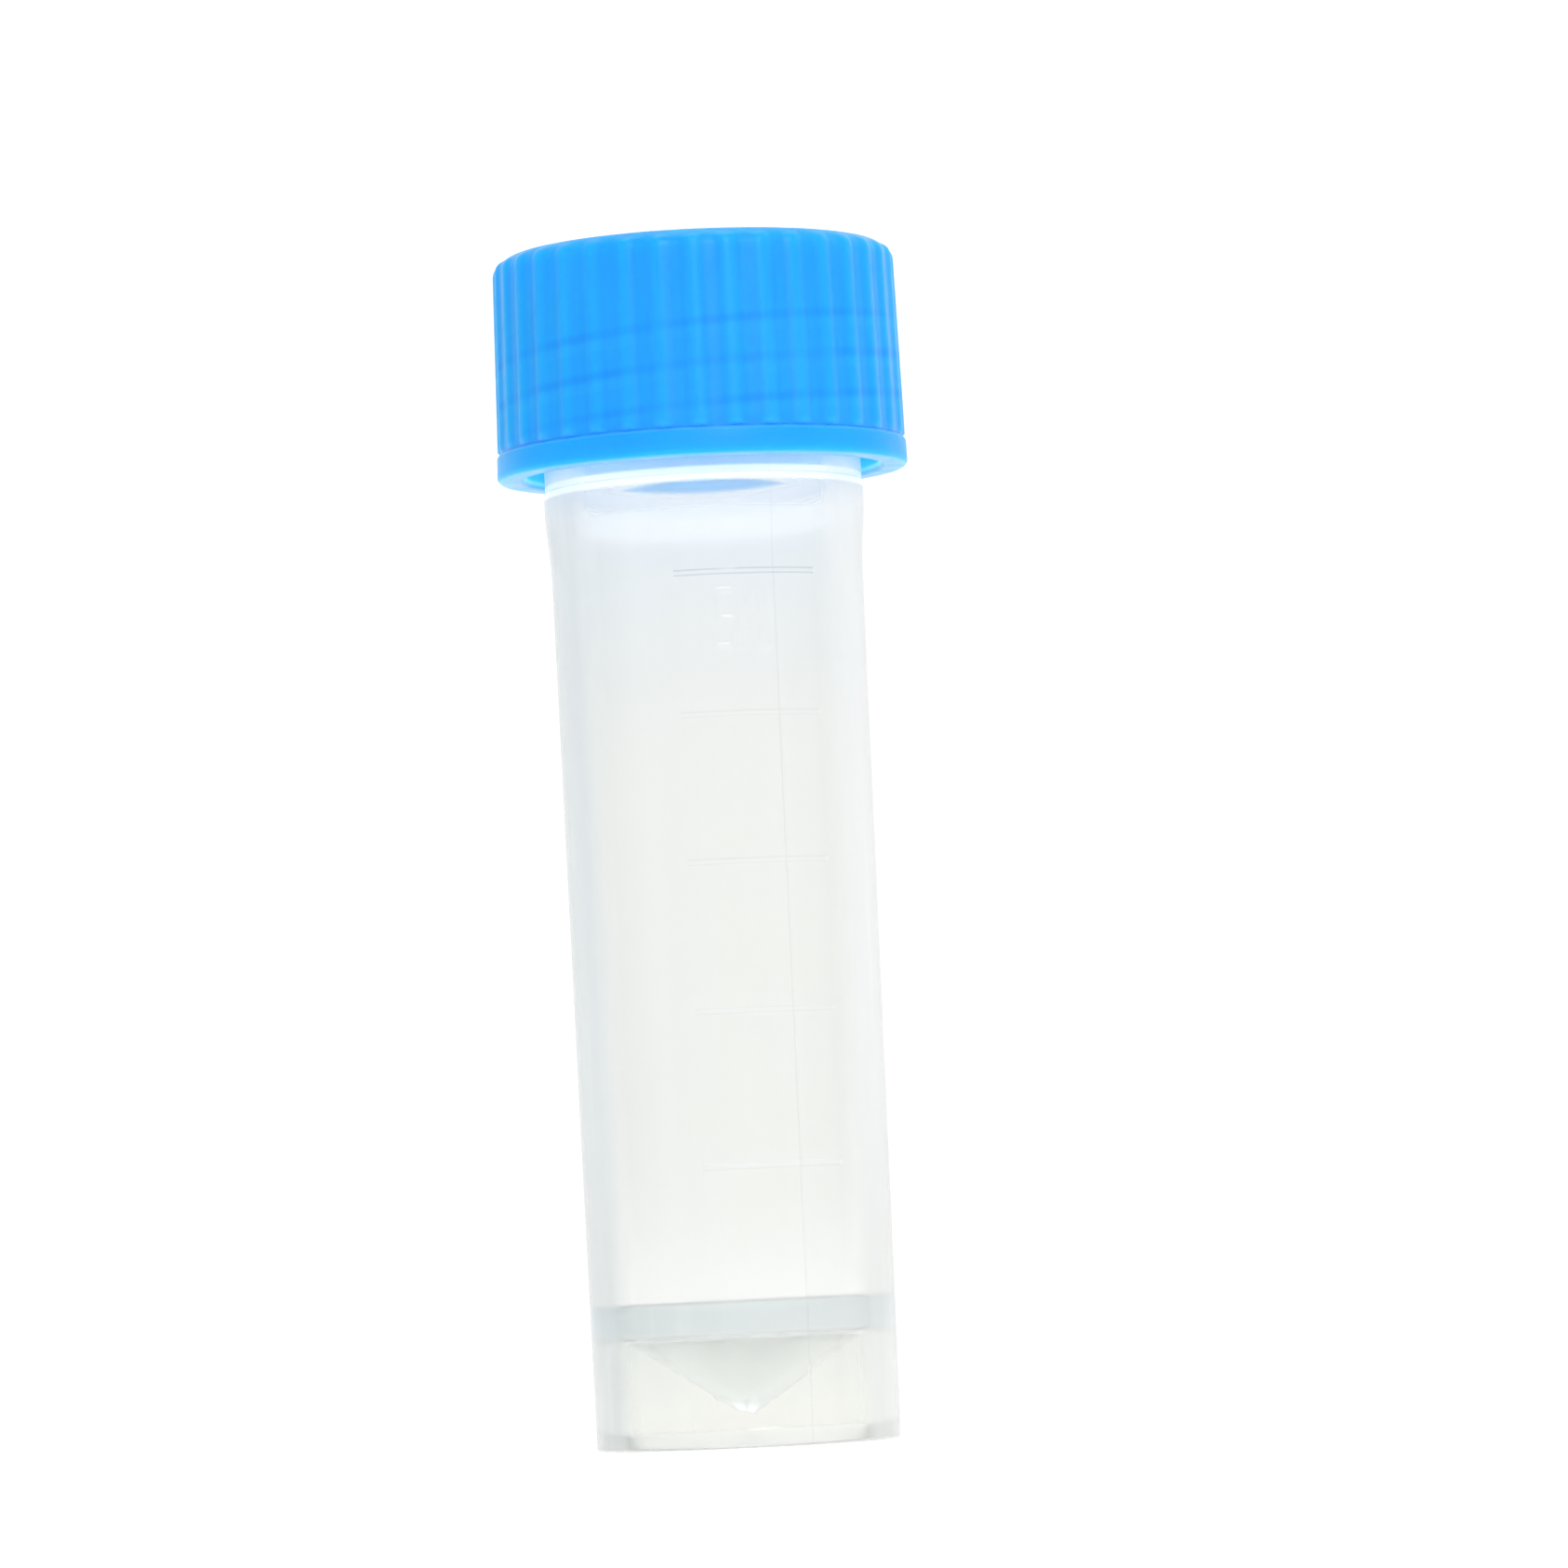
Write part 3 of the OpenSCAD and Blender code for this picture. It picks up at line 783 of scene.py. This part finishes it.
def studio():
    """Bright behind the object, dimmer in front of it and slightly blue on the left."""
    world = bpy.data.worlds.new("studio")
    world.use_nodes = True
    nodes, links = world.node_tree.nodes, world.node_tree.links
    background = nodes["Background"]
    way = nodes.new("ShaderNodeTexCoord").outputs["Generated"]
    back = nodes.new("ShaderNodeVectorMath")
    back.operation = "DOT_PRODUCT"
    back.inputs[1].default_value = BACKDROP
    links.new(way, back.inputs[0])
    strength = nodes.new("ShaderNodeMapRange")
    strength.interpolation_type = "SMOOTHSTEP"
    split = nodes.new("ShaderNodeSeparateXYZ")
    links.new(way, split.inputs[0])
    left = nodes.new("ShaderNodeMapRange")
    for node, values in ((strength, BACKDROP_RAMP), (left, LEFT_RAMP)):
        for socket, value in zip(node.inputs[1:5], values):
            socket.default_value = value
    links.new(back.outputs["Value"], strength.inputs[0])
    links.new(strength.outputs[0], background.inputs["Strength"])
    links.new(split.outputs["X"], left.inputs[0])
    tint = nodes.new("ShaderNodeMix")
    tint.data_type = "RGBA"
    neutral, cool = (s for s in tint.inputs if s.type == "RGBA")
    neutral.default_value = NEUTRAL
    cool.default_value = COOL
    links.new(left.outputs[0], tint.inputs[0])
    mixed = next(s for s in tint.outputs if s.type == "RGBA")
    links.new(mixed, background.inputs["Color"])
    bpy.context.scene.world = world


def camera():
    """A little above the foot, 0.39 m away and looking slightly up, with a small roll."""
    data = bpy.data.cameras.new("camera")
    data.sensor_width = 36
    data.lens = 181.5
    data.clip_start = 0.01
    data.clip_end = 20
    cam = bpy.data.objects.new("camera", data)
    pitch, yaw, roll = CAMERA_ANGLES
    ahead = Vector((math.sin(yaw) * math.cos(pitch), math.cos(yaw) * math.cos(pitch),
                    math.sin(pitch)))
    right = ahead.cross(Vector((0, 0, 1))).normalized()
    up = right.cross(ahead)
    right, up = (right * math.cos(roll) + up * math.sin(roll),
                 up * math.cos(roll) - right * math.sin(roll))
    turn = Matrix((right, up, -ahead)).transposed()
    cam.matrix_world = Matrix.Translation(CAMERA_PLACE) @ turn.to_4x4()
    bpy.context.scene.collection.objects.link(cam)
    bpy.context.scene.camera = cam


floor()
studio()
softbox("key", (180, -680, 430), 420, 1.9)
softbox("fill", (-560, -420, 200), 420, 0.12)
softbox("side", (520, 60, 400), 420, 0.15)
softbox("top", (0, 60, 620), 400, 0.9)
camera()
bpy.context.scene.view_settings.view_transform = "Standard"
